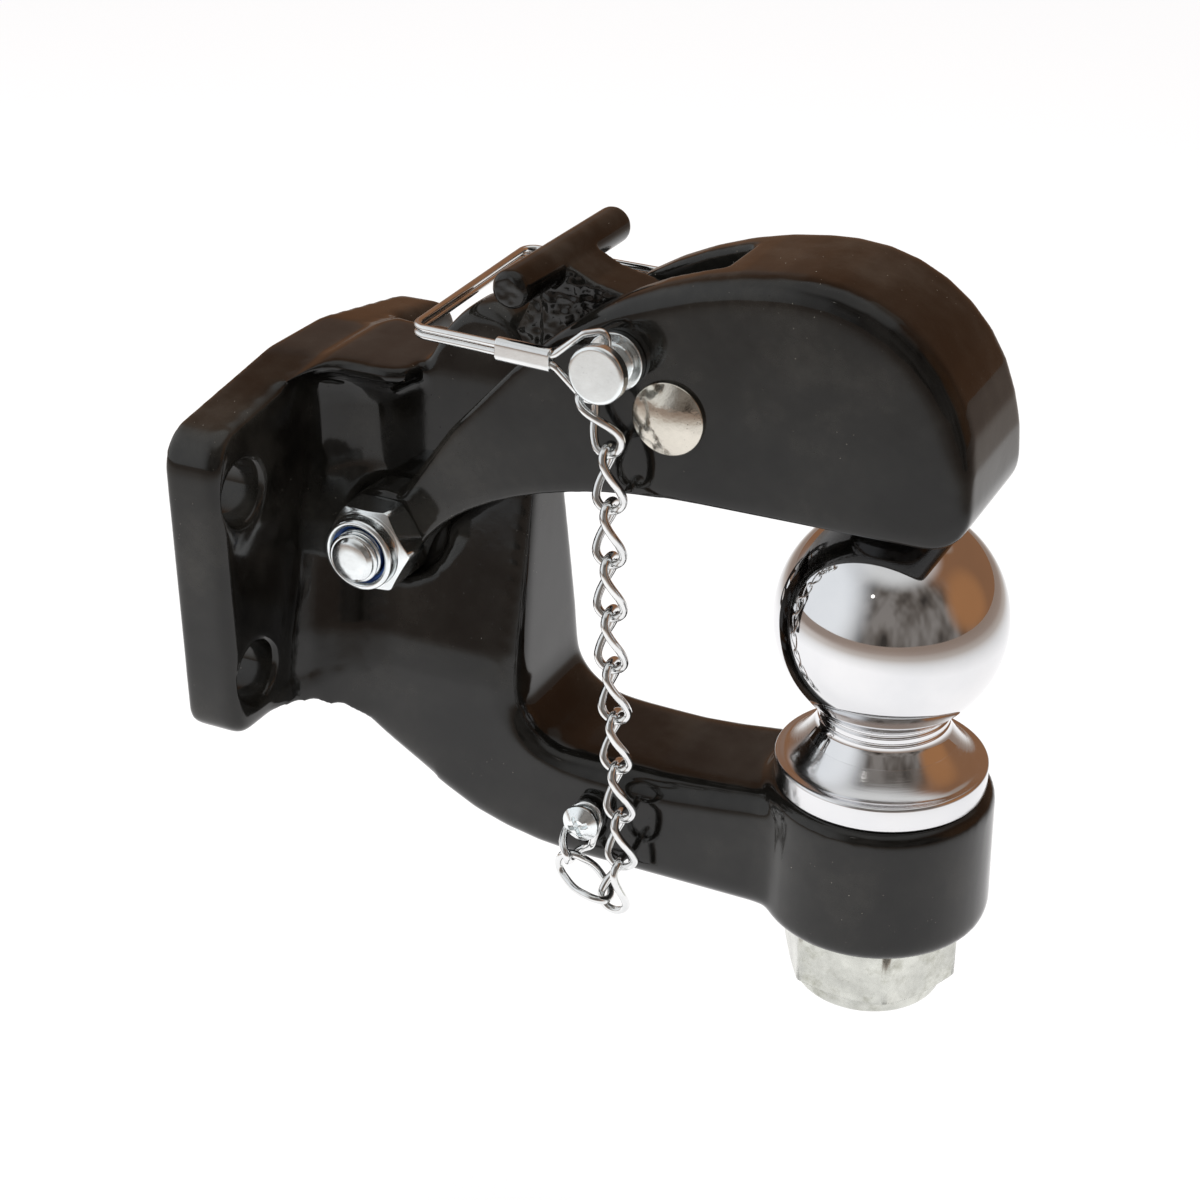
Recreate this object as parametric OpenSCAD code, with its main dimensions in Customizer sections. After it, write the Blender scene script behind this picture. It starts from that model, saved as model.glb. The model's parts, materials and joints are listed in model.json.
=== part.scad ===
// Combination pintle hook and tow ball for bolting to a mounting plate.
// X runs from the flange to the ball, Z is up, and the chain hangs on the -Y side.
// The origin is the centre of the four bolt holes on the back of the flange. Millimetres.

/* [Flange] */
// Thickness of the flange
flange_t = 14; // [12:0.5:18]
// Distance from a bolt hole's centre out to the side edge
flange_side = 9.15; // [8.2:0.05:16]
// Distance from the hole centre down to the lower edge
flange_drop = 36; // [34:0.5:44]
// Distance from the hole centre up to the side corners
flange_rise = 36.2; // [34:0.2:44]
// Extra height of the flange at its middle
gable = 6.8; // [3:0.2:10]
// Half the width of the level top of the flange
gable_half = 11; // [6:0.5:16]
// Spacing of the bolt holes across
hole_dy = 85.7; // [83:0.1:86]
// Spacing of the bolt holes up and down
hole_dz = 44.45; // [42:0.05:46]
// Diameter of the bolt holes
hole_d = 14.3; // [12:0.1:15]

/* [Body casting] */
// Thickness of the upright web inside the jaw
web_t = 16; // [14:0.5:20]
// Thickness of the lower arm
arm_t = 36; // [34:0.5:40]
// Distance from the flange back to the throat wall
throat_x = 66; // [64:0.5:68]
// Height of the arm top, below the hole centre
arm_top = -41; // [-44:0.5:-40]
// Radius of the throat's lower corner
throat_r = 13; // [9:0.5:16]
// Width of the shoulder above the web
shoulder_w = 31; // [28:0.5:34]
// Height of the shoulder top
shoulder_z = 44.5; // [43.5:0.5:46]
// Distance from the flange back to the shoulder's tip
shoulder_x = 39; // [34:0.5:39.5]
// Height of the catch that the lever closes on
catch_z = 60; // [59:0.25:60.5]
// Radius of the boss under the ball
boss_r = 25.4; // [24.5:0.2:27]
// Height of the boss
boss_h = 32.5; // [31.8:0.5:36]

/* [Ball] */
// Diameter of the ball
ball_d = 50; // [48:0.2:50.8]
// Distance from the flange back to the ball's centre
ball_x = 147.5; // [146:0.5:150]
// Diameter of the neck
neck_d = 28.8; // [26:0.2:29]
// Diameter of the collar that seats on the boss
collar_d = 46.8; // [44:0.2:48]
// Height of the collar
collar_h = 6; // [4:0.5:8]
// Height of the ball's centre above the seat
ball_rise = 39.5; // [38:0.5:42]
// Diameter of the shank
shank_d = 24; // [22:0.5:25]
// Width across flats of the ball nut
ball_nut_af = 36; // [34:0.5:38]
// Height of the ball nut
ball_nut_h = 20; // [18:0.5:24]

/* [Latch jaw] */
// Thickness of the jaw
jaw_t = 36; // [34:0.5:38]
// Width of the slot for the web and the lever
slot_w = 16.6; // [16.4:0.1:18]
// Gap between the ball and the closed jaw
jaw_gap = 0.5; // [0.3:0.1:1.5]
// Radius of the nose's top
nose_r = 36.8; // [35:0.2:37.5]
// Radius of the long back
back_r = 84; // [80:1:90]
// Radius of the cheeks' rear ends
cheek_r = 11.2; // [11:0.1:12]
// Rounding of the jaw's top edges
top_edge = 4.6; // [2:0.2:5]

/* [Pivot] */
// Distance from the flange back to the pivot
pivot_x = 33.5; // [33:0.25:35]
// Height of the pivot
pivot_z = 5.5; // [4:0.25:7]
// Diameter of the pivot bolt
pivot_d = 12; // [10:0.5:12.5]
// Width across flats of the pivot nut
pivot_af = 19; // [17:0.5:20]

/* [Lever] */
// Thickness of the lever's plate
lever_t = 14; // [12:0.5:16]
// Length of the handle
handle_l = 50.4; // [44:0.5:60]
// Diameter of the handle
handle_d = 8.4; // [7:0.2:9]
// Diameter of the lever rivet
rivet_d = 10; // [8:0.5:11]
// Diameter of the rivet heads
rivet_head_d = 16; // [14:0.5:18]

/* [Lock pin and bail] */
// Diameter of the lock pin
pin_d = 8; // [7:0.25:8.5]
// Diameter of the pin's two discs
pin_head_d = 12.6; // [11:0.2:12.8]
// How far the pin stands out on the far side
pin_out = 6.5; // [4:0.5:10]
// Thickness of the bail wire
bail_wire = 1.6; // [1.2:0.1:1.8]
// Outreach of the bail behind the pin
bail_reach = 43.8; // [42:0.2:46]

/* [Chain] */
// Thickness of the chain wire
link_wire = 1.7; // [1.4:0.1:1.8]
// Pitch of the chain
link_pitch = 12.6; // [12:0.1:13]
// Outside width of a link
link_w = 8.5; // [8.3:0.1:9]
// Diameter of the chain screw
screw_d = 4; // [3:0.25:4.25]

/* [Hidden] */
$fn = 64;
eps = 0.5;

// Clearances
fixed_fit = 0.05;
running_fit = 0.1;
face_gap = 0.1;
link_gap = 0.25;
cheek_room = 0.9;

// Heights along the ball
seat_z = 2.7 - ball_rise;
ball_z = seat_z + ball_rise;
ball_r = ball_d / 2;
boss_bottom = seat_z - boss_h;
nut_bottom = boss_bottom - ball_nut_h;
ball_collar_h = 3.8;
collar_nut_d = ball_nut_af - 2;
shank_end = nut_bottom - 2;

// Half thicknesses
web_h = web_t / 2;
arm_h = arm_t / 2;
jaw_h = jaw_t / 2;
slot_h = slot_w / 2;
lever_h = lever_t / 2;
shoulder_h = shoulder_w / 2;

// Jaw outline
jaw_under = ball_z + ball_r + jaw_gap;
nose_cx = ball_x - 17;
nose_top = jaw_under + 51.5;
nose_cz = nose_top - nose_r;
nose_front = nose_cx + nose_r + 0.3;
lip_r = 9;
roof_cx = nose_cx - 20.5;
roof_a = 71;
roof_b = 34.2;
roof_cz = jaw_under - roof_b;
seam_top = [66.8, 51.2];
seam_mid = [50.8, 34.2];

// Lever and pin, in the jaw
rivet = [103.3, 46.8];
pin = [91.8, 57.7];
handle = [70.3, 71.1];
tail = [68.4, 50];
lever_hub_r = 11;
pin_slot = 3.1;
slot_floor = 6;
slot_room = 1.7;
slot_bevel = 4;
floor_reach = 8.3;
mouth_reach = 7.2;
slope_from = 13.2;
slope_to = 27.2;
spring_wire = 1.2;
spring_r = 7;
spring_turns = 2.5;
spring_pocket_r = 8.8;
spring_pocket_h = 5.6;
spring_gap = 0.2;
rivet_head_h = 3;

// Bail
wire_r = bail_wire / 2;
strand_half = wire_r + 0.05;
bail_pin_y = -23;
bail_y = jaw_h + pin_out + 1.7;
bail_x = pin[0] - bail_reach;
fork = 7.8;
ferrule = [12.5, 3, 5.2];
ferrule_x = 74.3;

// Chain
link_r = link_wire / 2;
link_half = link_w / 2 - link_r;
hook_gap = link_wire + link_gap;
link_core = link_pitch - (link_half - hook_gap);
chain_screw = [85.2, -53.8];
screw_head_d = 8.8;
screw_room = 4.6;
screw_in = 12;
screw_bottom = 2;
elbow_out = -0.2;
last_twist = 4;
lean = [30, 2, 0, 1, 1, 4, 2, 4, 2, -9];

// Points on a circular arc in a plane
function arc(c, r, a0, a1, n) =
    [for (i = [0 : n]) let (a = a0 + (a1 - a0) * i / n) [c[0] + r * cos(a), c[1] + r * sin(a)]];

function unit(v) = v / norm(v);

// A closed outline with each corner rounded by its own radius
function rounded(pts, radii, n = 5) =
    let (m = len(pts))
    [for (i = [0 : m - 1])
        let (p = pts[i], u = unit(pts[(i + m - 1) % m] - p), v = unit(pts[(i + 1) % m] - p),
             half = acos(u * v) / 2, c = p + unit(u + v) * radii[i] / sin(half),
             from = p + u * radii[i] / tan(half) - c, to = p + v * radii[i] / tan(half) - c)
        for (k = [0 : n])
            let (w = unit(from * (1 - k / n) + to * (k / n))) c + w * radii[i]];

// Moves each point of a closed outline inwards by its own distance
function inset(pts, d) =
    let (m = len(pts))
    [for (i = [0 : m - 1])
        let (t = unit(unit(pts[(i + 1) % m] - pts[i]) + unit(pts[i] - pts[(i + m - 1) % m])),
             dist = is_list(d) ? d[i] : d)
        pts[i] + [-t[1], t[0]] * dist];

// Triangles that fill a flat ring, crossing from one side of it to the other by the shorter way
function cap_faces(ring, a, b) =
    b - a < 2 ? []
    : norm(ring[a + 1] - ring[b]) < norm(ring[a] - ring[b - 1])
        ? concat([[a, a + 1, b]], cap_faces(ring, a + 1, b))
        : concat([[a, b - 1, b]], cap_faces(ring, a, b - 1));

// A solid through equal rings, closed by flat caps or back onto its first ring
module skin(rings, closed = false) {
    n = len(rings[0]);
    m = len(rings);
    sides = [for (i = [0 : m - (closed ? 1 : 2)], k = [0 : n - 1])
        let (a = i * n + k, b = i * n + (k + 1) % n, c = ((i + 1) % m) * n + k, d = ((i + 1) % m) * n + (k + 1) % n)
        each [[a, b, d], [a, d, c]]];
    caps = closed ? [] : concat(
        [for (f = cap_faces(rings[0], 0, n - 1)) [f[2], f[1], f[0]]],
        [for (f = cap_faces(rings[m - 1], 0, n - 1)) [for (k = f) (m - 1) * n + k]]);
    polyhedron([for (r = rings) each r], concat(sides, caps), convexity = 8);
}

// A round wire along a closed path; each point is [place, side direction]
module wire_loop(path, r, sides = 8) {
    m = len(path);
    skin([for (i = [0 : m - 1])
        let (t = unit(path[(i + 1) % m][0] - path[(i + m - 1) % m][0]),
             s = unit(path[i][1] - t * (t * path[i][1])), q = cross(s, t))
        [for (k = [0 : sides - 1]) path[i][0] + r * (cos(k * 360 / sides) * s + sin(k * 360 / sides) * q)]],
        closed = true);
}

// Stands a side outline up: its first axis stays X, its second becomes Z
module across(h0, h1) {
    translate([0, h1, 0]) rotate([90, 0, 0]) linear_extrude(h1 - h0) children();
}

// Turns a solid made along Z so that it runs along -Y from a place
module along_y(p) {
    translate(p) rotate([90, 0, 0]) children();
}

// One ring of the body casting between a front and a rear point.
// half is the half thickness, front the edge rounding, and rear a fillet when positive.
function body_ring(front, rear, half, round_f, fillet) =
    let (d = unit(front - rear), l = norm(front - rear), f = abs(fillet),
         one = concat(
            [for (a = [0 : 22.5 : 90]) [l - round_f * (1 - cos(a)), half - round_f * (1 - sin(a))]],
            [for (b = [0 : 18 : 90]) [f * (1 - sin(b)), half + fillet * (1 - cos(b))]]),
         loop = concat(one, [for (i = [len(one) - 1 : -1 : 0]) [one[i][0], -one[i][1]]]))
    [for (p = loop) [rear[0] + d[0] * p[0], p[1], rear[1] + d[1] * p[0]]];

// Half thickness of the upright: the web, flaring down into the arm
flare_top = 18;
flare_end = -24;
function upright_h(z) =
    z > flare_top ? web_h
    : z < flare_end ? arm_h
    : web_h + (arm_h - web_h) * (flare_top - z) / (flare_top - flare_end);

module flange() {
    low_r = 5;
    corner_r = 9;
    gable_r = 25;
    front_r = 3;
    rear_r = 0.6;
    side = hole_dy / 2 + flange_side;
    outline = rounded(
        [[-side, -flange_drop], [side, -flange_drop], [side, flange_rise],
         [gable_half, flange_rise + gable], [-gable_half, flange_rise + gable], [-side, flange_rise]],
        [low_r, low_r, corner_r, gable_r, gable_r, corner_r]);
    layers = concat([[0, rear_r], [rear_r, 0]],
        [for (a = [0 : 22.5 : 90]) [flange_t - front_r * (1 - sin(a)), front_r * (1 - cos(a))]]);
    skin([for (i = [len(layers) - 1 : -1 : 0])
        [for (p = inset(outline, layers[i][1])) [layers[i][0], p[0], p[1]]]]);
}

module flange_holes() {
    chamfer = 0.5;
    for (y = [-1, 1], z = [-1, 1])
        translate([0, y * hole_dy / 2, z * hole_dz / 2]) rotate([0, 90, 0]) {
            translate([0, 0, -eps]) cylinder(h = flange_t + 2 * eps, d = hole_d);
            translate([0, 0, flange_t - chamfer])
                cylinder(h = chamfer + eps, d1 = hole_d, d2 = hole_d + 2 * (chamfer + eps));
        }
}

// Rings of the rounded knob on the web that the lever's tail closes against
function catch_rings() =
    let (levels = [[0, 53.3, 55.9, 3], [-0.5, 52, 56.9, 4.2], [-1.6, 50, 58.9, 5.6], [-3.7, 47.4, 61.6, 6.6],
                   [-7.4, 44, 64.3, 7], [-11, 41.8, 64.6, 7.2], [-16.2, 39, 64.9, 7.9]])
    [for (t = levels)
        let (z = catch_z + t[0], r = min(2.5, (t[2] - t[1]) / 2.2, t[3] - 0.5))
        body_ring([t[2], z], [t[1], z], t[3], r, -r)];

// The knob, the upright and the arm as one loft round the throat
module upright_and_arm() {
    root = flange_t - eps;
    corner = [throat_x + throat_r, arm_top + throat_r];
    bottom = boss_bottom + 0.3;
    into_boss = ball_x - shank_d / 2 - 1;
    upright = [for (z = [shoulder_z - 1.1, flare_top, 4, -10, -20])
        body_ring([throat_x - (z > flare_top ? 1.1 : 0), z], [root, z], upright_h(z),
            z > flare_top ? 1.2 : 1.5 + 0.1 * (flare_top - z), z > flare_top ? 14 : 15 + 0.1 * (flare_top - z))];
    turn = [[180, 13.5, -29.5, 20], [195, 14.5, -35.6, 20], [210, 19, -38.4, 11], [225, 24, -42.2, 4],
            [240, 28.5, -48, -3], [255, 36, -53.4, -5], [270, 44.5, -59.3, -6]];
    bend = [for (t = turn)
        body_ring([corner[0] + throat_r * cos(t[0]), corner[1] + throat_r * sin(t[0])], [t[1], t[2]],
            arm_h, 5.5 + (t[0] - 180) / 60, t[3])];
    rear = [[81, 52.5, -63.6], [84, 61, -66.4], [88, 70, -68.2], [93, 80, bottom], [100, 94, bottom]];
    arm = [for (t = rear) body_ring([t[0], arm_top], [t[1], t[2]], arm_h, 7, -6)];
    rise = arm_top - seat_z + 1.5;
    to_boss = [[108, 0.2, 0], [116, 0.5, 0], [124.5, 0.85, 0], [128.5, 0.95, 0.5], [131, 1, 1.5],
               [132.8, 1, 2.5], [into_boss, 1, 2.2]];
    neck = [for (t = to_boss)
        body_ring([t[0], arm_top - rise * t[1]], [t[0], bottom], arm_h + t[2], 7 - t[1], -6)];
    skin(concat(catch_rings(), upright, bend, arm, neck));
}

module shoulder() {
    root = flange_t - eps;
    lip_z = shoulder_z - 3.5;
    cove_h = 11;
    cove_w = shoulder_h - web_h;
    cove = [for (t = [0, 25, 48, 68, 82])
        let (w = cove_w * (1 - cos(t)))
        body_ring([shoulder_x - (cove_w - w), lip_z - cove_h * (1 - sin(t))],
            [root, lip_z - cove_h * (1 - sin(t))], web_h - 1 + w * 1.1, 2 + 3 * w / cove_w, 11 - 1.5 * w / cove_w)];
    lip = [for (t = [[0, 0], [2.6, 0], [3.2, 0.5], [3.5, 1.3]])
        body_ring([shoulder_x - t[1], lip_z + t[0]], [root, lip_z + t[0]], shoulder_h - t[1], 5 - t[1], 9.5)];
    foot_z = lip_z - cove_h - 4;
    foot = [body_ring([shoulder_x - cove_w - 3, foot_z], [root, foot_z], web_h - 3, 2, 8)];
    layers = concat(foot, cove, lip);
    skin([for (i = [len(layers) - 1 : -1 : 0]) layers[i]]);
}

module boss() {
    top_r = 2.5;
    low_r = 3.5;
    flare = 0.6;
    translate([ball_x, 0, 0]) rotate_extrude()
        polygon(concat([[0, boss_bottom]],
            arc([boss_r + flare - low_r, boss_bottom + low_r], low_r, -90, 0, 4),
            arc([boss_r - top_r, seat_z - top_r], top_r, 0, 90, 4),
            [[0, seat_z]]));
}

module hitch_body() {
    color([0.03, 0.03, 0.03])
    difference() {
        union() {
            flange();
            upright_and_arm();
            shoulder();
            boss();
        }
        flange_holes();
        for (s = [-1, 1])
            across(s > 0 ? web_h + fixed_fit : -2 * arm_h, s > 0 ? 2 * arm_h : -web_h - fixed_fit) {
                translate([pivot_x, pivot_z]) circle(r = cheek_r + cheek_room);
                polygon(inset(concat(roof(16), [[nose_cx, 2 * pivot_z + 44], [pivot_x, 2 * pivot_z + 9]]),
                    -cheek_room));
            }
        along_y([pivot_x, jaw_h, pivot_z]) cylinder(h = jaw_t, d = pivot_d + 2 * fixed_fit);
        translate([ball_x, 0, shank_end]) cylinder(h = seat_z - shank_end + eps, d = shank_d + 2 * fixed_fit);
        along_y([chain_screw[0], -arm_h + screw_in + screw_bottom, chain_screw[1]])
            cylinder(h = screw_in + screw_bottom + eps, d = screw_d + 2 * fixed_fit);
    }
}

// Throat roof of the jaw, from the cheeks to the flat over the ball
function roof(n) =
    [for (i = [0 : n])
        let (a = 177.5 - 87.5 * i / n) [roof_cx + roof_a * cos(a), roof_cz + roof_b * sin(a)]];

// Side outline of the jaw, anticlockwise, each point with its own edge rounding
function jaw_outline() = concat(
    [for (p = roof(14)) [p, 1]],
    [for (p = arc([nose_front - lip_r, jaw_under + lip_r], lip_r, -90, 0, 5)) [p, 1.6]],
    [for (a = [4 : 10.75 : 90]) [[nose_cx + nose_r * cos(a), nose_cz + nose_r * sin(a)], min(top_edge, 2 + a / 6)]],
    [for (a = [94 : 5.8 : 135])
        [[nose_cx + back_r * cos(a), nose_top - back_r + back_r * sin(a)], min(top_edge, 1 + (134.6 - a) / 6)]],
    [[seam_top, 1], [seam_mid, 1]],
    [for (p = arc([pivot_x, pivot_z], cheek_r, 70, 296, 12)) [p, 1]]);

module jaw_blank() {
    outline = jaw_outline();
    pts = [for (p = outline) p[0]];
    edge = [for (p = outline) p[1]];
    half = [for (a = [0 : 30 : 90]) [for (i = [0 : len(pts) - 1])
        let (q = inset(pts, edge * (1 - cos(a)))[i]) [q[0], jaw_h - edge[i] * (1 - sin(a)), q[1]]]];
    mirrored = [for (i = [3 : -1 : 0]) [for (p = half[i]) [p[0], -p[1], p[2]]]];
    skin(concat(mirrored, half));
}

module latch_jaw() {
    slot_bottom = jaw_under + slot_floor;
    slot_back = rivet[0] + lever_hub_r + slot_room;
    slot_mouth = rivet[0] + mouth_reach;
    beyond = 100;
    color([0.04, 0.04, 0.04])
    difference() {
        jaw_blank();
        across(-slot_h, slot_h)
            polygon([[0, -beyond], [rivet[0] - floor_reach, -beyond], [rivet[0] - floor_reach, slot_bottom],
                     [slot_back - slot_bevel, slot_bottom], [slot_back, slot_bottom + slot_bevel],
                     [slot_back, rivet[1] + slope_from], [slot_mouth, rivet[1] + slope_to],
                     [slot_mouth, beyond], [0, beyond]]);
        along_y([pivot_x, jaw_h + eps, pivot_z]) cylinder(h = jaw_t + 2 * eps, d = pivot_d + 2 * running_fit);
        along_y([rivet[0], jaw_h + eps, rivet[1]]) cylinder(h = jaw_t + 2 * eps, d = rivet_d + 2 * fixed_fit);
        along_y([pin[0], jaw_h + eps, pin[1]]) cylinder(h = jaw_t + 2 * eps, d = pin_d + 2 * running_fit);
    }
}

// A hexagon with both ends turned to a chamfer, along Z from 0
module hex_bar(af, h, top_chamfer = true) {
    r = af / sqrt(3);
    fall = (r - af / 2 + 0.3) * 0.58;
    intersection() {
        cylinder(h = h, r = r, $fn = 6);
        union() {
            cylinder(h = fall, r1 = af / 2 - 0.3, r2 = r);
            translate([0, 0, fall]) cylinder(h = h - 2 * fall, r = r + 1);
            translate([0, 0, h - fall]) cylinder(h = fall, r1 = r, r2 = top_chamfer ? af / 2 - 0.3 : r);
        }
    }
}

// Lock nut along Z from 0: hexagon, then a round collar that holds a nylon ring
module lock_nut(af, hex_h, collar_d, collar_h, bore_d, ring_d) {
    difference() {
        union() {
            hex_bar(af, hex_h);
            translate([0, 0, hex_h - eps]) cylinder(h = collar_h + eps, d = collar_d);
        }
        translate([0, 0, -eps]) cylinder(h = hex_h + collar_h + 2 * eps, d = bore_d + 2 * fixed_fit);
        translate([0, 0, hex_h]) cylinder(h = collar_h - 0.8, d = ring_d);
    }
}

module nylon_ring(outer_d, inner_d, h) {
    difference() {
        cylinder(h = h, d = outer_d);
        translate([0, 0, -eps]) cylinder(h = h + 2 * eps, d = inner_d);
    }
}

pivot_face = jaw_h + face_gap;
pivot_hex_h = 8.2;
pivot_collar_h = 3.6;
pivot_ring_d = pivot_d + 2.4;

module pivot_bolt() {
    head_h = 7.5;
    length = 2 * pivot_face + pivot_hex_h + pivot_collar_h + 3;
    color([0.72, 0.72, 0.7])
    union() {
        along_y([pivot_x, pivot_face + head_h, pivot_z]) hex_bar(pivot_af, head_h);
        along_y([pivot_x, pivot_face + eps, pivot_z]) cylinder(h = length + eps - 1, d = pivot_d);
        along_y([pivot_x, pivot_face - length + 1, pivot_z]) cylinder(h = 1, d1 = pivot_d, d2 = pivot_d - 2);
    }
}

module pivot_nut() {
    color([0.72, 0.72, 0.7])
    along_y([pivot_x, -pivot_face, pivot_z])
        lock_nut(pivot_af, pivot_hex_h, pivot_af - 2, pivot_collar_h, pivot_d, pivot_ring_d);
}

module pivot_nut_insert() {
    color([0.1, 0.25, 0.7])
    along_y([pivot_x, -pivot_face - pivot_hex_h, pivot_z])
        nylon_ring(pivot_ring_d, pivot_d + 2 * fixed_fit, pivot_collar_h - 0.8);
}

module tow_ball() {
    neck_r = neck_d / 2;
    collar_r = collar_d / 2;
    under = asin(neck_r / ball_r);
    neck_top = ball_z - ball_r * cos(under);
    rim = seat_z + collar_h;
    cone_top = neck_top - 4.6;
    groove = 0.5;
    color([0.8, 0.8, 0.82])
    translate([ball_x, 0, 0]) {
        difference() {
            union() {
                translate([0, 0, ball_z]) sphere(r = ball_r);
                rotate_extrude() polygon(concat(
                    [[0, ball_z - 2], [neck_r - 2, neck_top + 2], [neck_r, neck_top - 0.5], [neck_r, cone_top]],
                    [for (t = [15 : 15 : 75])
                        [neck_r + (collar_r - 1.2 - neck_r) * (1 - cos(t)), cone_top - (cone_top - rim) * sin(t)]],
                    [[collar_r - 0.8, rim], [collar_r, rim - 0.8], [collar_r, seat_z + 0.6], [collar_r - 0.6, seat_z],
                     [shank_d / 2, seat_z], [shank_d / 2, shank_end + 1.6], [shank_d / 2 - 1.6, shank_end],
                     [0, shank_end]]));
            }
            for (z = [neck_top - 1, neck_top - 3])
                translate([0, 0, z]) rotate_extrude()
                    translate([neck_r, 0]) circle(r = groove, $fn = 16);
        }
    }
}

module ball_nut() {
    color([0.7, 0.7, 0.68])
    translate([ball_x, 0, boss_bottom]) mirror([0, 0, 1])
        lock_nut(ball_nut_af, ball_nut_h - ball_collar_h, collar_nut_d, ball_collar_h, shank_d, shank_d + 4);
}

module ball_nut_insert() {
    color([0.1, 0.25, 0.7])
    translate([ball_x, 0, nut_bottom + 0.8])
        nylon_ring(shank_d + 4, shank_d + 2 * fixed_fit, ball_collar_h - 0.8);
}

module lever_profile() {
    polygon(concat(
        [tail, [tail[0] + 3, tail[1] - 2.2]],
        arc(rivet, lever_hub_r, 240, 440, 12),
        [[pin[0] - 1.3, pin[1] + 8.9], [handle[0] + 10.2, handle[1] - 2.2], [handle[0] + 3.7, handle[1] + 0.9],
         [handle[0], handle[1]], [tail[0], handle[1] - 2]]));
}

module lock_lever() {
    color([0.08, 0.08, 0.08])
    difference() {
        union() {
            across(-lever_h, lever_h) lever_profile();
            along_y([handle[0], handle_l / 2 - 1, handle[1]]) cylinder(h = handle_l - 2, d = handle_d);
            for (s = [-1, 1])
                translate([handle[0], s * (handle_l / 2 - 1), handle[1]]) rotate([-90 * s, 0, 0])
                    cylinder(h = 1, d1 = handle_d, d2 = handle_d - 2);
        }
        along_y([rivet[0], lever_h + eps, rivet[1]])
            cylinder(h = lever_t + 2 * eps, d = rivet_d + 2 * running_fit);
        along_y([rivet[0], lever_h + eps, rivet[1]]) cylinder(h = spring_pocket_h + eps, r = spring_pocket_r);
        pin_arc = atan2(pin[1] - rivet[1], pin[0] - rivet[0]);
        pin_at = norm(pin - rivet);
        for (k = [0 : 4])
            let (a = pin_arc + (pin_slot * k / 4) / pin_at * 180 / PI)
            along_y([rivet[0] + pin_at * cos(a), lever_h + eps, rivet[1] + pin_at * sin(a)])
                cylinder(h = lever_t + 2 * eps, d = pin_d + 4 * running_fit);
    }
}

module lever_rivet() {
    color([0.75, 0.72, 0.62])
    translate([rivet[0], 0, rivet[1]]) rotate([90, 0, 0])
    union() {
        translate([0, 0, -jaw_h - eps]) cylinder(h = jaw_t + 2 * eps, d = rivet_d);
        for (s = [0, 1]) mirror([0, 0, s]) translate([0, 0, jaw_h]) {
            cylinder(h = rivet_head_h * 0.4, d = rivet_head_d);
            translate([0, 0, rivet_head_h * 0.4])
                cylinder(h = rivet_head_h * 0.6, d1 = rivet_head_d, d2 = rivet_head_d - 5);
        }
    }
}

module lever_spring() {
    steps = 20;
    pitch = (spring_pocket_h - 3 * spring_gap - spring_wire) / spring_turns;
    count = steps * spring_turns;
    y0 = lever_h - spring_pocket_h + spring_gap + spring_wire / 2;
    coil = [for (i = [0 : count])
        let (a = 150 - 360 * i / steps)
        [[rivet[0] + spring_r * cos(a), y0 + pitch * i / steps, rivet[1] + spring_r * sin(a)],
         [cos(a), 0, sin(a)]]];
    rings = [for (i = [0 : count])
        let (p = coil[i][0], s = coil[i][1], q = [0, 1, 0])
        [for (k = [0 : 5]) p + spring_wire / 2 * (cos(k * 60) * s + sin(k * 60) * q)]];
    color([0.6, 0.6, 0.58]) skin(rings);
}

module lock_pin() {
    head_y = 29;
    head_h = 2.7;
    collar_h = 2;
    length = head_y + jaw_h + pin_out;
    color([0.75, 0.75, 0.74])
    difference() {
        union() {
            along_y([pin[0], -head_y + head_h, pin[1]]) cylinder(h = head_h - 0.5, d = pin_head_d);
            along_y([pin[0], -head_y + 0.5, pin[1]]) cylinder(h = 0.5, d1 = pin_head_d, d2 = pin_head_d - 1);
            along_y([pin[0], length - head_y - 0.8, pin[1]]) cylinder(h = length - 1.5, d = pin_d);
            along_y([pin[0], length - head_y, pin[1]]) cylinder(h = 0.8, d1 = pin_d - 1.6, d2 = pin_d);
            along_y([pin[0], -jaw_h - face_gap, pin[1]]) cylinder(h = collar_h, d = pin_head_d);
        }
        translate([pin[0], bail_pin_y, pin[1] - pin_d]) cylinder(h = 2 * pin_d, d = bail_wire + 0.6);
    }
}

// Route of the bail in plan, from the pin's cross hole round to the pin's far end.
// Each point is [place in plan, heading, height of the middle, half spread of the two strands]
bail_turn = 3;
bail_corner_z = [59.5, 61.2];
function bail_route() =
    let (near = -bail_y + 0.2, far = bail_y)
    concat(
        [for (t = [[1.2, 0], [4, 0.2], [7, 0.7]])
            [[pin[0] - t[0] * cos(15), bail_pin_y - t[0] * sin(15)], 195, pin[1], fork - t[1]]],
        [[[ferrule_x + ferrule[0] / 2 + 0.6, near + 0.1], 187, pin[1] + 0.6, strand_half + 0.2],
         [[ferrule_x + ferrule[0] / 2, near], 180, pin[1] + 0.6, strand_half],
         [[bail_x + bail_turn + 10, near], 180, bail_corner_z[0] - 0.4, strand_half]],
        [for (a = [0 : 22.5 : 90])
            [[bail_x + bail_turn * (1 - sin(a)), near + bail_turn * (1 - cos(a))], 180 - a, bail_corner_z[0], strand_half]],
        [for (a = [0 : 22.5 : 90])
            [[bail_x - 0.6 + bail_turn * (1 - cos(a)), far - bail_turn * (1 - sin(a))], 90 - a, bail_corner_z[1], strand_half]],
        [[[pin[0] - 10, far], 0, bail_corner_z[1] - 0.6, strand_half],
         [[pin[0] + 0.8, far], 0, bail_corner_z[1] - 1, strand_half],
         [[pin[0] + 1.6, far], 0, bail_corner_z[1] - 1, strand_half - 0.25]]);

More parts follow.
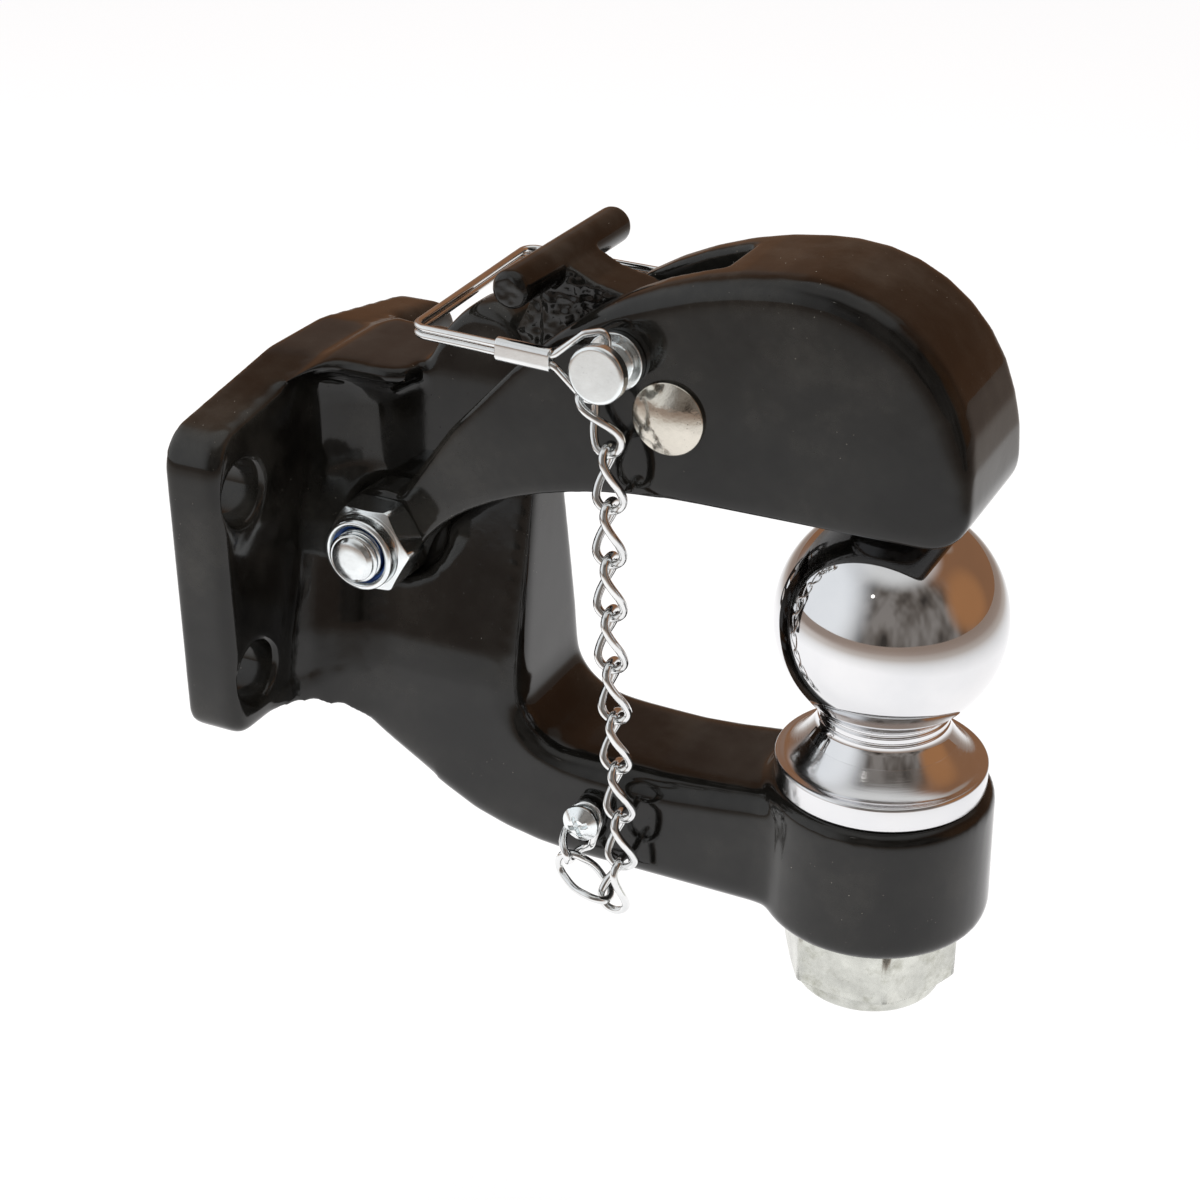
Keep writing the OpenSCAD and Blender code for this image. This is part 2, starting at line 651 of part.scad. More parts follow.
function bail_path() =
    let (route = bail_route(), n = len(route))
    concat(
        [for (i = [0 : n - 1])
            let (r = route[i]) [[r[0][0], r[0][1], r[2] - r[3]], [-sin(r[1]), cos(r[1]), 0]]],
        [for (i = [n - 1 : -1 : 0])
            let (r = route[i]) [[r[0][0], r[0][1], r[2] + r[3]], [-sin(r[1]), cos(r[1]), 0]]],
        [for (z = [fork - 1.2, 2, -2, 1.2 - fork]) [[pin[0], bail_pin_y, pin[1] + z], [-sin(195), cos(195), 0]]]);

module pin_bail() {
    color([0.7, 0.7, 0.68]) wire_loop(bail_path(), wire_r);
}

module bail_ferrule() {
    near = -bail_y + 0.2;
    a = bail_route()[4];
    b = bail_route()[5];
    slope = atan2(a[2] - b[2], a[0][0] - b[0][0]);
    mid_z = b[2] + (a[2] - b[2]) * (ferrule_x - b[0][0]) / (a[0][0] - b[0][0]);
    bore_r = wire_r + 0.06;
    color([0.62, 0.6, 0.56])
    translate([ferrule_x, near, mid_z]) rotate([0, -slope, 0])
    difference() {
        union() {
            cube([ferrule[0], ferrule[1], ferrule[2] - ferrule[1]], center = true);
            for (s = [-1, 1]) translate([-ferrule[0] / 2, 0, s * (ferrule[2] - ferrule[1]) / 2])
                rotate([0, 90, 0]) cylinder(h = ferrule[0], d = ferrule[1]);
        }
        for (s = [-1, 1]) translate([-ferrule[0], 0, s * strand_half])
            rotate([0, 90, 0]) cylinder(h = 2 * ferrule[0], r = bore_r);
    }
}

// A twisted link. start is the middle of the wire at its first end, dir its direction.
// Its first end lies across side, its second end a quarter turn on. twist is the length of the turn.
module twisted_link(start, dir, side, twist = link_core - link_half) {
    e1 = unit(side - dir * (dir * side));
    e2 = cross(dir, e1);
    flat = link_core - link_half;
    quarter = [for (a = [-90 : 18 : 90]) a];
    first = [for (a = quarter) [link_half * (1 - cos(a)), link_half * sin(a)]];
    rise = [for (k = [1 : 3]) [link_half + flat * k / 4, link_half]];
    last = [for (a = quarter) [link_core + link_half * cos(a), -link_half * sin(a)]];
    fall = [for (k = [3 : -1 : 1]) [link_half + flat * k / 4, -link_half]];
    color([0.7, 0.7, 0.68])
    wire_loop([for (p = concat(first, rise, last, fall))
        let (turn = 90 * max(0, min(1, (p[0] - link_half) / twist)),
             across_dir = e1 * cos(turn) + e2 * sin(turn), normal = e2 * cos(turn) - e1 * sin(turn))
        [start + p[0] * dir + p[1] * across_dir, normal]], link_r);
}

// Direction of a hanging link that leans by an angle towards the ball
function hang(a) = [sin(a), 0, -cos(a)];

// Starts of the links that hang: each hooks into the end of the one before
function chain_from(i, start) =
    i >= len(lean) ? [start]
    : let (d = hang(lean[i]), next = i + 1 < len(lean) ? hang(lean[i + 1]) : d,
           pull = unit(d + next))
      concat([start], chain_from(i + 1, start + link_core * d + (link_half - hook_gap) * pull));

// The last two links close the chain onto the screw
screw_at = [chain_screw[0], -arm_h - screw_room / 2, chain_screw[1]];
last_core = link_core + link_half - link_r - screw_d / 2 - link_gap;
function elbow(from, d0, b0, b1, n) =
    let (p = from + (link_half - hook_gap) * b0,
         v = screw_at - p - (link_half - hook_gap) * b1,
         c = norm(v), u = unit(v),
         bend = acos((link_core * link_core + c * c - last_core * last_core) / (2 * link_core * c)),
         out = unit(cross(u, [0, 1, 0]) + [0, elbow_out, 0]),
         out_n = unit(out - u * (u * out)),
         d1 = cos(bend) * u + sin(bend) * out_n,
         d2 = unit(v - link_core * d1))
    n == 0 ? [p, d1, p + link_core * d1 + (link_half - hook_gap) * b1, d2]
    : elbow(from, d0, unit(d0 + d1), unit(d1 + d2), n - 1);

strand_a = bail_route()[1];
strand_b = bail_route()[2];
hang_part = 0.12;
strand_at = [
    strand_a[0][0] + (strand_b[0][0] - strand_a[0][0]) * hang_part,
    strand_a[0][1] + (strand_b[0][1] - strand_a[0][1]) * hang_part,
    (strand_a[2] - strand_a[3]) + (strand_b[2] - strand_b[3] - strand_a[2] + strand_a[3]) * hang_part];
chain_start = strand_at - (link_r + wire_r + 2 * link_gap) * hang(lean[0]);
starts = chain_from(0, chain_start);
last_hang = hang(lean[len(lean) - 1]);
last_end = starts[len(lean) - 1] + link_core * last_hang;
tail_links = elbow(last_end, last_hang, last_hang, [-1, 0, 0], 12);

module chain_link(i) {
    if (i <= len(lean)) twisted_link(starts[i - 1], hang(lean[i - 1]), [0, 1, 0]);
    else if (i == len(lean) + 1) twisted_link(tail_links[0], tail_links[1], [0, 1, 0]);
    else twisted_link(tail_links[2], tail_links[3], [0, 1, 0], last_twist);
}

module chain_screw() {
    head_h = 2.6;
    slot = [5, 1.1, 1.4];
    color([0.7, 0.7, 0.7])
    difference() {
        union() {
            along_y([chain_screw[0], -arm_h + screw_in, chain_screw[1]])
                cylinder(h = screw_in + screw_room + eps, d = screw_d);
            along_y([chain_screw[0], -arm_h - screw_room, chain_screw[1]]) {
                cylinder(h = 0.8, d = screw_head_d);
                intersection() {
                    translate([0, 0, 0.8]) cylinder(h = head_h - 0.8, d1 = screw_head_d, d2 = screw_head_d * 0.45);
                    cylinder(h = head_h, d = screw_head_d);
                }
            }
        }
        along_y([chain_screw[0], -arm_h - screw_room - head_h + slot[2], chain_screw[1]])
            for (a = [20, 110]) rotate([0, 0, a])
                translate([-slot[0] / 2, -slot[1] / 2, 0]) cube([slot[0], slot[1], slot[2] + eps]);
    }
}

hitch_body();
latch_jaw();
pivot_bolt();
pivot_nut();
pivot_nut_insert();
tow_ball();
ball_nut();
ball_nut_insert();
lock_lever();
lever_rivet();
lever_spring();
lock_pin();
pin_bail();
bail_ferrule();
chain_screw();
chain_link(1);  // chain_link_01
chain_link(2);  // chain_link_02
chain_link(3);  // chain_link_03
chain_link(4);  // chain_link_04
chain_link(5);  // chain_link_05
chain_link(6);  // chain_link_06
chain_link(7);  // chain_link_07
chain_link(8);  // chain_link_08
chain_link(9);  // chain_link_09
chain_link(10);  // chain_link_10
chain_link(11);  // chain_link_11
chain_link(12);  // chain_link_12
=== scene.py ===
import math

import bmesh
import bpy
from mathutils import Matrix, Vector, noise
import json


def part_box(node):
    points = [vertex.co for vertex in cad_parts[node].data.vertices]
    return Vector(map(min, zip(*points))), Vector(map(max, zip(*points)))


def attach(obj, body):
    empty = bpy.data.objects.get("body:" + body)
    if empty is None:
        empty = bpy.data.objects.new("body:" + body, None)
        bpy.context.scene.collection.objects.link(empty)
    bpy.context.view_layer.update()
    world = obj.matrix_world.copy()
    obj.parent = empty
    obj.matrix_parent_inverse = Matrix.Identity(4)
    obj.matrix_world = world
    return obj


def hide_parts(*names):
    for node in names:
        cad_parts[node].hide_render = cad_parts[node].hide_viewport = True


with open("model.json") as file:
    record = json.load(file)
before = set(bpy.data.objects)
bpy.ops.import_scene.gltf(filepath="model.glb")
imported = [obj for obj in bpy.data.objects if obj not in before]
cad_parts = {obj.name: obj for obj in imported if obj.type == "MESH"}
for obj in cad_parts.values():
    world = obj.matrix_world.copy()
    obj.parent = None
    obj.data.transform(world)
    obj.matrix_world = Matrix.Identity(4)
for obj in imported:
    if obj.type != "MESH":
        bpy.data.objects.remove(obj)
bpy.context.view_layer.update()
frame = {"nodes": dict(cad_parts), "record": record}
nodes = frame["nodes"]
record = frame["record"]
body_of = {node: body for body, members in record["behaviour"]["bodies"].items() for node in members}
slot_of = {part["node"]: part["material_slot"] for part in record["subparts"]}
scene = bpy.context.scene
MM = 0.001

# Camera at the photograph's angle

AZIMUTH, ELEVATION = math.radians(26.2), math.radians(27.4)
CAMERA_AT = (0.2727, -0.3942, 0.2187)
LENS, SENSOR = 65.4, 36
camera_data = bpy.data.cameras.new("camera")
camera_data.lens = LENS
camera_data.sensor_width = SENSOR
camera_data.clip_start, camera_data.clip_end = 0.01, 20
camera = bpy.data.objects.new("camera", camera_data)
scene.collection.objects.link(camera)
camera.location = CAMERA_AT
looking = Vector((-math.sin(AZIMUTH) * math.cos(ELEVATION), math.cos(AZIMUTH) * math.cos(ELEVATION),
                  -math.sin(ELEVATION)))
camera.rotation_euler = looking.to_track_quat("-Z", "Y").to_euler()
scene.camera = camera


# Node trees

class Nodes:
    """A node tree with short calls for its usual nodes. Textures follow self.place."""

    def __init__(self, tree, place):
        self.tree = tree
        self.coords = self.node("ShaderNodeTexCoord")
        self.place = self.coords.outputs[place]

    def node(self, kind, **settings):
        made = self.tree.nodes.new(kind)
        for key, value in settings.items():
            setattr(made, key, value)
        return made

    def link(self, source, target):
        self.tree.links.new(source, target)

    def stretched(self, scale):
        mapping = self.node("ShaderNodeMapping")
        mapping.inputs["Scale"].default_value = scale
        self.link(self.place, mapping.inputs["Vector"])
        return mapping.outputs["Vector"]

    def noise(self, scale, detail=3, rough=0.5, place=None):
        made = self.node("ShaderNodeTexNoise")
        made.inputs["Scale"].default_value = scale
        made.inputs["Detail"].default_value = detail
        made.inputs["Roughness"].default_value = rough
        self.link(place or self.place, made.inputs["Vector"])
        return made.outputs["Fac"]

    def ramp(self, source, *stops):
        """A colour ramp of (position, grey or colour) stops."""
        made = self.node("ShaderNodeValToRGB")
        elements = made.color_ramp.elements
        while len(elements) < len(stops):
            elements.new(0.5)
        for element, (at, value) in zip(elements, stops):
            element.position = at
            element.color = (*value, 1) if isinstance(value, tuple) else (value, value, value, 1)
        self.link(source, made.inputs["Fac"])
        return made.outputs["Color"]

    def mix(self, factor, a, b):
        made = self.node("ShaderNodeMix", data_type="RGBA")
        for socket, value in zip((made.inputs[0], made.inputs[6], made.inputs[7]), (factor, a, b)):
            if isinstance(value, tuple):
                socket.default_value = (*value, 1)
            else:
                self.link(value, socket)
        return made.outputs[2]


class Paint(Nodes):
    """A material. Keywords set constants on its shader, with underscores for spaces."""

    def __init__(self, name, **sockets):
        self.material = bpy.data.materials.new(name)
        self.material.use_nodes = True
        super().__init__(self.material.node_tree, "Object")
        self.shader = self.tree.nodes["Principled BSDF"]
        for key, value in sockets.items():
            self.shader.inputs[key.replace("_", " ")].default_value = value

    def cells(self, scale):
        made = self.node("ShaderNodeTexVoronoi", feature="F1")
        made.inputs["Scale"].default_value = scale
        self.link(self.place, made.inputs["Vector"])
        return made.outputs["Distance"]

    def part(self, vector, axis):
        """One coordinate of a vector."""
        made = self.node("ShaderNodeSeparateXYZ")
        self.link(vector, made.inputs[0])
        return made.outputs[axis]

    def math(self, operation, a, b=0.0):
        made = self.node("ShaderNodeMath", operation=operation)
        for socket, value in zip(made.inputs, (a, b)):
            if isinstance(value, (int, float)):
                socket.default_value = value
            else:
                self.link(value, socket)
        return made.outputs["Value"]

    def bump(self, *layers):
        """Bumps one on the other, each a height source and its depth in metres."""
        before = None
        for height, depth in layers:
            made = self.node("ShaderNodeBump")
            made.inputs["Strength"].default_value = 1
            made.inputs["Distance"].default_value = depth
            self.link(height, made.inputs["Height"])
            if before:
                self.link(before, made.inputs["Normal"])
            before = made.outputs["Normal"]
        self.into("Normal", before)

    def into(self, name, source):
        self.link(source, self.shader.inputs[name])


class Sky(Nodes):
    """World light painted by direction, one soft patch over another on a blurred ramp of stops."""

    STRETCH = (3.2, 3.2, 1.3)

    def __init__(self, *stops):
        scene.world = bpy.data.worlds.new("studio")
        scene.world.use_nodes = True
        super().__init__(scene.world.node_tree, "Generated")
        blur = self.noise(1.0, detail=2, place=self.stretched(self.STRETCH))
        self.color = self.ramp(blur, *stops)

    def patch(self, axis, edge, core, color, share=1.0):
        """Paints directions within core degrees of an axis, fading out at edge degrees."""
        dot = self.node("ShaderNodeVectorMath", operation="DOT_PRODUCT")
        dot.inputs[1].default_value = Vector(axis).normalized()
        self.link(self.place, dot.inputs[0])
        fade = self.node("ShaderNodeMapRange", interpolation_type="SMOOTHSTEP")
        fade.inputs["From Min"].default_value = math.cos(math.radians(edge))
        fade.inputs["From Max"].default_value = math.cos(math.radians(core))
        fade.inputs["To Max"].default_value = share
        self.link(dot.outputs["Value"], fade.inputs["Value"])
        self.color = self.mix(fade.outputs[0], self.color, color)

    def finish(self, seen):
        """Shows one plain colour to the camera and the painted sky to everything else."""
        from_camera = self.node("ShaderNodeLightPath").outputs["Is Camera Ray"]
        self.color = self.mix(from_camera, self.color, seen)
        self.link(self.color, self.tree.nodes["Background"].inputs["Color"])


# Materials: depths in metres, scales per metre

COAT_STAINS = ((0.36, (0.003, 0.0027, 0.0024)), (0.5, (0.009, 0.0085, 0.0074)),
               (0.66, (0.024, 0.0225, 0.0195)))
DUST_COLOR, DUST_ROUGHNESS = (0.24, 0.22, 0.19), 0.4
PIT_SHADE = 0.22


def black_coat(name, grain, wave, dull, rough_sides=0.0):
    """A glossy black coat over a casting, with dust specks and a skin like orange peel."""
    p = Paint(name, IOR=1.46)
    specks = p.ramp(p.cells(520), (0.04, 1.0), (0.085, 0.0))
    thin = p.ramp(p.noise(45, detail=5, rough=0.6), (0.53, 0.0), (0.66, 1.0))
    dust = p.math("MULTIPLY", specks, thin)
    stain = p.ramp(p.noise(34, detail=7, rough=0.66), *COAT_STAINS)
    p.into("Base Color", p.mix(dust, stain, DUST_COLOR))
    gloss = p.ramp(p.noise(38, detail=6, rough=0.65), (0.34, 0.06 + dull), (0.72, 0.15 + dull))
    p.into("Roughness", p.math("ADD", gloss, p.math("MULTIPLY", dust, DUST_ROUGHNESS)))
    layers = [(p.noise(42, detail=2), wave), (p.noise(140, detail=2), wave * 0.22), (p.noise(800), grain),
              (specks, 0.00002)]
    if rough_sides:
        facing = p.math("ABSOLUTE", p.part(p.coords.outputs["Normal"], "Y"))
        side = p.ramp(facing, (0.6, 0.0), (0.85, 1.0))
        layers.append((p.math("MULTIPLY", p.noise(330, detail=1), side), rough_sides))
    p.bump(*layers)
    return p.material


def bright_metal(name, color, rough, pits=0.0, stain=0.12, wave=0.000015, dirt=None):
    """Plated steel with fine grain, faint stains and small dark pits."""
    p = Paint(name, Metallic=1.0)
    dull = tuple(c * (1 - stain) for c in color)
    tone = p.mix(p.ramp(p.noise(140, detail=6, rough=0.65), (0.38, 0.0), (0.68, 1.0)), color, dull)
    if dirt:
        tone = p.mix(p.ramp(p.noise(110, detail=8, rough=0.72), (0.52, 0.0), (0.7, 0.7)), tone, dirt)
    if pits:
        hole = p.ramp(p.cells(1500), (0.1, 1.0), (0.24, 0.0))
        patch = p.ramp(p.noise(220, detail=5, rough=0.7), (0.5, 0.0), (0.66, pits))
        tone = p.mix(p.math("MULTIPLY", hole, patch), tone, tuple(c * PIT_SHADE for c in color))
    p.into("Base Color", tone)
    grain = p.noise(2500, rough=0.6)
    p.into("Roughness", p.ramp(grain, (0.3, rough * 0.75), (0.75, rough * 1.35)))
    p.bump((p.noise(260, rough=0.6), wave), (grain, 0.000005))
    return p.material


def chrome_plate(turned_below):
    """Polished plate with a few smudges, left as turned below a height in metres."""
    p = Paint("chrome", Metallic=1.0)
    below = p.math("LESS_THAN", p.part(p.place, "Z"), turned_below)
    tone = p.ramp(p.noise(60, detail=5), (0.3, (0.75, 0.76, 0.78)), (0.7, (0.83, 0.83, 0.84)))
    p.into("Base Color", tone)
    smudge = p.ramp(p.noise(90, detail=6, rough=0.7), (0.4, 0.025), (0.75, 0.08))
    scuff = p.ramp(p.noise(120, detail=7, rough=0.7), (0.4, 0.12), (0.7, 0.24))
    p.into("Roughness", p.mix(below, smudge, scuff))
    rings = p.noise(1, detail=4, rough=0.6, place=p.stretched((60, 60, 2600)))
    p.bump((p.noise(40, detail=2), 0.00003), (p.math("MULTIPLY", rings, below), 0.00002))
    return p.material


def nylon():
    """Matte blue plastic."""
    p = Paint("blue_nylon", IOR=1.53)
    tone = p.ramp(p.noise(300, detail=4), (0.35, (0.01, 0.06, 0.3)), (0.7, (0.02, 0.13, 0.52)))
    p.into("Base Color", tone)
    p.into("Roughness", p.ramp(p.noise(700, detail=4), (0.3, 0.28), (0.7, 0.5)))
    p.bump((p.noise(900), 0.00008))
    return p.material


PAINTS = {
    "black_casting": black_coat("black_casting", grain=0.000004, wave=0.00013, dull=0.0),
    "black_lever": black_coat("black_lever", grain=0.000008, wave=0.0002, dull=0.02, rough_sides=0.00012),
    "zinc_steel": bright_metal("zinc_steel", (0.92, 0.96, 0.97), rough=0.19, pits=0.3),
    "old_zinc": bright_metal("old_zinc", (0.7, 0.71, 0.66), rough=0.24, pits=0.2, stain=0.3, wave=0.00004,
                             dirt=(0.3, 0.3, 0.24)),
    "nickel_steel": bright_metal("nickel_steel", (0.74, 0.7, 0.62), rough=0.16, pits=0.9, wave=0.00012),
    "spring_steel": bright_metal("spring_steel", (0.6, 0.6, 0.58), rough=0.28),
    "wire": bright_metal("wire", (0.86, 0.87, 0.87), rough=0.09),
    "chrome": chrome_plate(turned_below=-0.0255),
    "blue_nylon": nylon(),
}


# Pieces

def linked(name, mesh):
    piece = bpy.data.objects.new(name, mesh)
    scene.collection.objects.link(piece)
    return piece


def finished(name, bm):
    """The mesh of a working copy, which is freed."""
    mesh = bpy.data.meshes.new(name)
    bm.to_mesh(mesh)
    bm.free()
    return mesh


def dress(piece, node, paint=None):
    """Gives a piece its node's material slot and body, with a paint of its own if named."""
    slot = slot_of[node]
    piece.data.materials.clear()
    piece.data.materials.append(PAINTS[paint or slot])
    for face in piece.data.polygons:
        face.use_smooth = True
        face.material_index = 0
    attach(piece, body_of[node])


def stand_for(piece, node, paint=None):
    """Dresses a piece as its node and hides the node."""
    dress(piece, node, paint)
    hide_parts(node)


# Castings

SMOOTHING = 0.5
LUMP_SCALE, FINE_SCALE, FINE_SHARE = 420, 900, 0.5
SIDE_FROM = 0.7


def apply_all(piece):
    """Turns a piece's modifiers into plain mesh."""
    graph = bpy.context.evaluated_depsgraph_get()
    mesh = bpy.data.meshes.new_from_object(piece.evaluated_get(graph))
    piece.modifiers.clear()
    piece.data = mesh


def smoothed(piece, rounds, group=""):
    smooth = piece.modifiers.new("smooth", "SMOOTH")
    smooth.factor = SMOOTHING
    smooth.iterations = rounds
    smooth.vertex_group = group


def welded(node, name, extra):
    """A copy of a CAD node's mesh with its split corners joined, and another mesh added."""
    bm = bmesh.new()
    bm.from_mesh(nodes[node].data)
    bmesh.ops.remove_doubles(bm, verts=bm.verts, dist=1e-6)
    if extra:
        bm.from_mesh(extra)
    return linked(name, finished(name, bm))


def cast(node, name, voxel, rounds, extra=None, top=None, soften=(), rough=0.0):
    """A CAD solid with the rounded edges of a casting, remeshed at a voxel in mm and smoothed.

    top gives the greatest height at a place, soften lists boxes that are smoothed further, and rough is
    the depth in mm of the lumps on its sides.
    """
    piece = welded(node, name, extra)
    remesh = piece.modifiers.new("remesh", "REMESH")
    remesh.mode = "VOXEL"
    remesh.voxel_size = voxel * MM
    smoothed(piece, rounds)
    apply_all(piece)
    if top:
        for v in piece.data.vertices:
            v.co.z = min(v.co.z, top(v.co.x / MM, abs(v.co.y) / MM) * MM)
    for low, high, more in soften:
        inside = [v.index for v in piece.data.vertices
                  if all(a < c / MM < b for a, c, b in zip(low, v.co, high))]
        piece.vertex_groups.new(name="soft").add(inside, 1.0, "REPLACE")
        smoothed(piece, more, "soft")
        apply_all(piece)
        piece.vertex_groups.clear()
    if rough:
        facings = [v.normal.y for v in piece.data.vertices]
        for v, facing in zip(piece.data.vertices, facings):
            lump = noise.noise(v.co * LUMP_SCALE) + FINE_SHARE * noise.noise(v.co * FINE_SCALE)
            share = max(0.0, abs(facing) - SIDE_FROM) / (1 - SIDE_FROM)
            outward = 1 if facing > 0 else -1
            v.co.y += outward * rough * MM * lump * share
    stand_for(piece, node)


def plate(outline, half):
    """A flat plate with an outline in the XZ plane, in mm, half its thickness each way in Y."""
    bm = bmesh.new()
    face = bm.faces.new([bm.verts.new((x * MM, half * MM, z * MM)) for x, z in outline])
    made = bmesh.ops.extrude_face_region(bm, geom=[face])
    moved = [v for v in made["geom"] if isinstance(v, bmesh.types.BMVert)]
    bmesh.ops.translate(bm, verts=moved, vec=(0, -2 * half * MM, 0))
    bmesh.ops.recalc_face_normals(bm, faces=bm.faces)
    return finished("plate", bm)


# Parts of the body that are smoothed further: low corner and high corner in mm, rounds

HEEL = ((5, -37, -62), (44, 37, -30), 60)
LIP = ((9, -44, 33), (30, 44, 50), 18)
GABLE_TOP, GABLE_HALF, GABLE_DROP, GABLE_SIDE = 43.0, 11, 6.8, 41
SHOULDER_FROM, SHOULDER_TO, SHOULDER_RISE = 14, 40, 0.4


def shoulder_top(x, y):
    """The shoulder runs out into the flange's sloping top edge instead of standing over it."""
    if x >= SHOULDER_TO:
        return math.inf
    edge = GABLE_TOP - GABLE_DROP * max(0, y - GABLE_HALF) / GABLE_SIDE
    return edge + max(0, x - SHOULDER_FROM) * SHOULDER_RISE


# The lever's stem, wider towards the flange than in the solid, as x and z in mm

STEM = ((60, 52), (64.5, 61), (68.5, 70), (77, 68), (77, 52), (70, 49))
STEM_HALF = 6

cast("hitch_body", "casting_body", voxel=0.9, rounds=11, top=shoulder_top, soften=(HEEL, LIP))
cast("latch_jaw", "casting_jaw", voxel=0.8, rounds=8)
cast("lock_lever", "casting_lever", voxel=0.5, rounds=7, extra=plate(STEM, STEM_HALF), rough=0.45)


# Bent wire

ARC_STEPS = 9
NEARLY_STRAIGHT = 1.55


def rounded_path(corners):
    """A closed path through corners (place, bend radius), with each corner rounded."""
    path = []
    count = len(corners)
    for i, (place, radius) in enumerate(corners):
        before = (corners[i - 1][0] - place).normalized()
        after = (corners[(i + 1) % count][0] - place).normalized()
        half = before.angle(after) / 2
        if half > NEARLY_STRAIGHT:
            path.append(place)
            continue
        middle = place + (before + after).normalized() * radius / math.sin(half)
        reach = radius / math.tan(half)
        first, last = place + before * reach - middle, place + after * reach - middle
        for k in range(ARC_STEPS + 1):
            path.append(middle + first.lerp(last, k / ARC_STEPS).normalized() * radius)
    return path


def tube(name, path, radius, sides, closed=True):
    """A round wire in mm along a path, with rings that turn as little as they can."""
    count = len(path)
    if closed:
        spans = [(path[i - 1], path[(i + 1) % count]) for i in range(count)]
    else:
        spans = [(path[max(i - 1, 0)], path[min(i + 1, count - 1)]) for i in range(count)]
    heads = [(b - a).normalized() for a, b in spans]
    sideways = heads[0].orthogonal().normalized()
    across = [sideways]
    for a, b in zip(heads, heads[1:]):
        sideways = a.rotation_difference(b) @ sideways
        across.append(sideways)
    twist = 0.0
    if closed:
        back = heads[-1].rotation_difference(heads[0]) @ sideways
        twist = math.atan2(heads[0].dot(back.cross(across[0])), back.dot(across[0]))
    bm = bmesh.new()
    rings = []
    for i, (place, head, side) in enumerate(zip(path, heads, across)):
        up = head.cross(side)
        rings.append([])
        for k in range(sides):
            angle = 2 * math.pi * k / sides + twist * i / count
            out = math.cos(angle) * side + math.sin(angle) * up
            rings[-1].append(bm.verts.new((place + radius * out) * MM))
    for a, b in zip(rings, rings[1:] + rings[:1] if closed else rings[1:]):
        for k in range(sides):
            bm.faces.new([a[k], a[(k + 1) % sides], b[(k + 1) % sides], b[k]])
    if not closed:
        bm.faces.new(rings[0][::-1])
        bm.faces.new(rings[-1])
    bmesh.ops.recalc_face_normals(bm, faces=bm.faces)
    return linked(name, finished(name, bm))


# Turned and hexagonal forms, in mm

TURNS = {"Z": Matrix.Identity(4), "Y": Matrix.Rotation(math.radians(90), 4, "X"),
         "down": Matrix.Rotation(math.radians(180), 4, "X")}


def arc(cx, cy, r, a0, a1, steps):
    """Points on a circle from one angle to another, in degrees."""
    angles = [math.radians(a0 + (a1 - a0) * i / steps) for i in range(steps + 1)]
    return [(cx + r * math.cos(a), cy + r * math.sin(a)) for a in angles]


def lathe(name, profile, axis_at, axis="Z", steps=96):
    """Turns a profile of (radius, distance along the axis); a radius may depend on the angle."""
    bm = bmesh.new()
    rings = []
    angles = [2 * math.pi * k / steps for k in range(steps)]
    for radius, along in profile:
        if radius == 0:
            rings.append([bm.verts.new((0, 0, along))])
        else:
            reach = [radius(a) if callable(radius) else radius for a in angles]
            ring = [(r * math.cos(a), r * math.sin(a), along) for r, a in zip(reach, angles)]
            rings.append([bm.verts.new(v) for v in ring])
    for a, b in zip(rings, rings[1:]):
        for k in range(steps):
            corners = [a[k % len(a)], a[(k + 1) % len(a)], b[(k + 1) % len(b)], b[k % len(b)]]
            unique = list(dict.fromkeys(corners))
            if len(unique) > 2:
                bm.faces.new(unique)
    return placed(name, bm, axis_at, axis)


def placed(name, bm, axis_at, axis):
    """Links a form made in mm about Z at a place of its own."""
    place = Matrix.Scale(MM, 4) @ Matrix.Translation(axis_at) @ TURNS[axis]
    bmesh.ops.transform(bm, matrix=place, verts=bm.verts)
    bmesh.ops.remove_doubles(bm, verts=bm.verts, dist=1e-7)
    bmesh.ops.recalc_face_normals(bm, faces=bm.faces)
    return linked(name, finished(name, bm))


def corner_of(node, axis_at, axis):
    """Angle of a hexagon's corner on a CAD node, about an axis."""
    back = (Matrix.Translation(axis_at) @ TURNS[axis]).inverted()
    flat = [(back @ (v.co / MM)).xy for v in nodes[node].data.vertices]
    far = max(flat, key=lambda p: p.length_squared)
    return math.atan2(far.y, far.x)


def hexagon(across, corner, limit):
    """Radius by angle of a hexagon cut back to a limit radius at its corners."""
    def radius(angle):
        off = (angle - corner) % (math.pi / 3) - math.pi / 6
        return min(across / 2 / math.cos(off), limit)
    return radius


HEX_STEPS = 8
FACE_SHARE, CORNER_CUT, CHAMFER_SLOPE = 0.965, 0.25, 0.5


def hex_levels(across, corner, low, high):
    """Profile of a hexagon between two heights, chamfered at both."""
    flat, full = across / 2 * FACE_SHARE, across / 2 / math.cos(math.pi / 6) - CORNER_CUT
    rise = (full - flat) * CHAMFER_SLOPE
    steps = [i / HEX_STEPS for i in range(HEX_STEPS + 1)]
    first = [(hexagon(across, corner, flat + (full - flat) * s), low + rise * s) for s in steps]
    last = [(hexagon(across, corner, flat + (full - flat) * s), high - rise * s) for s in reversed(steps)]
    return first + last


NUT_STEPS = 192
FIT = 0.05
COLLAR_FOOT = 0.8
RECESS = 0.1


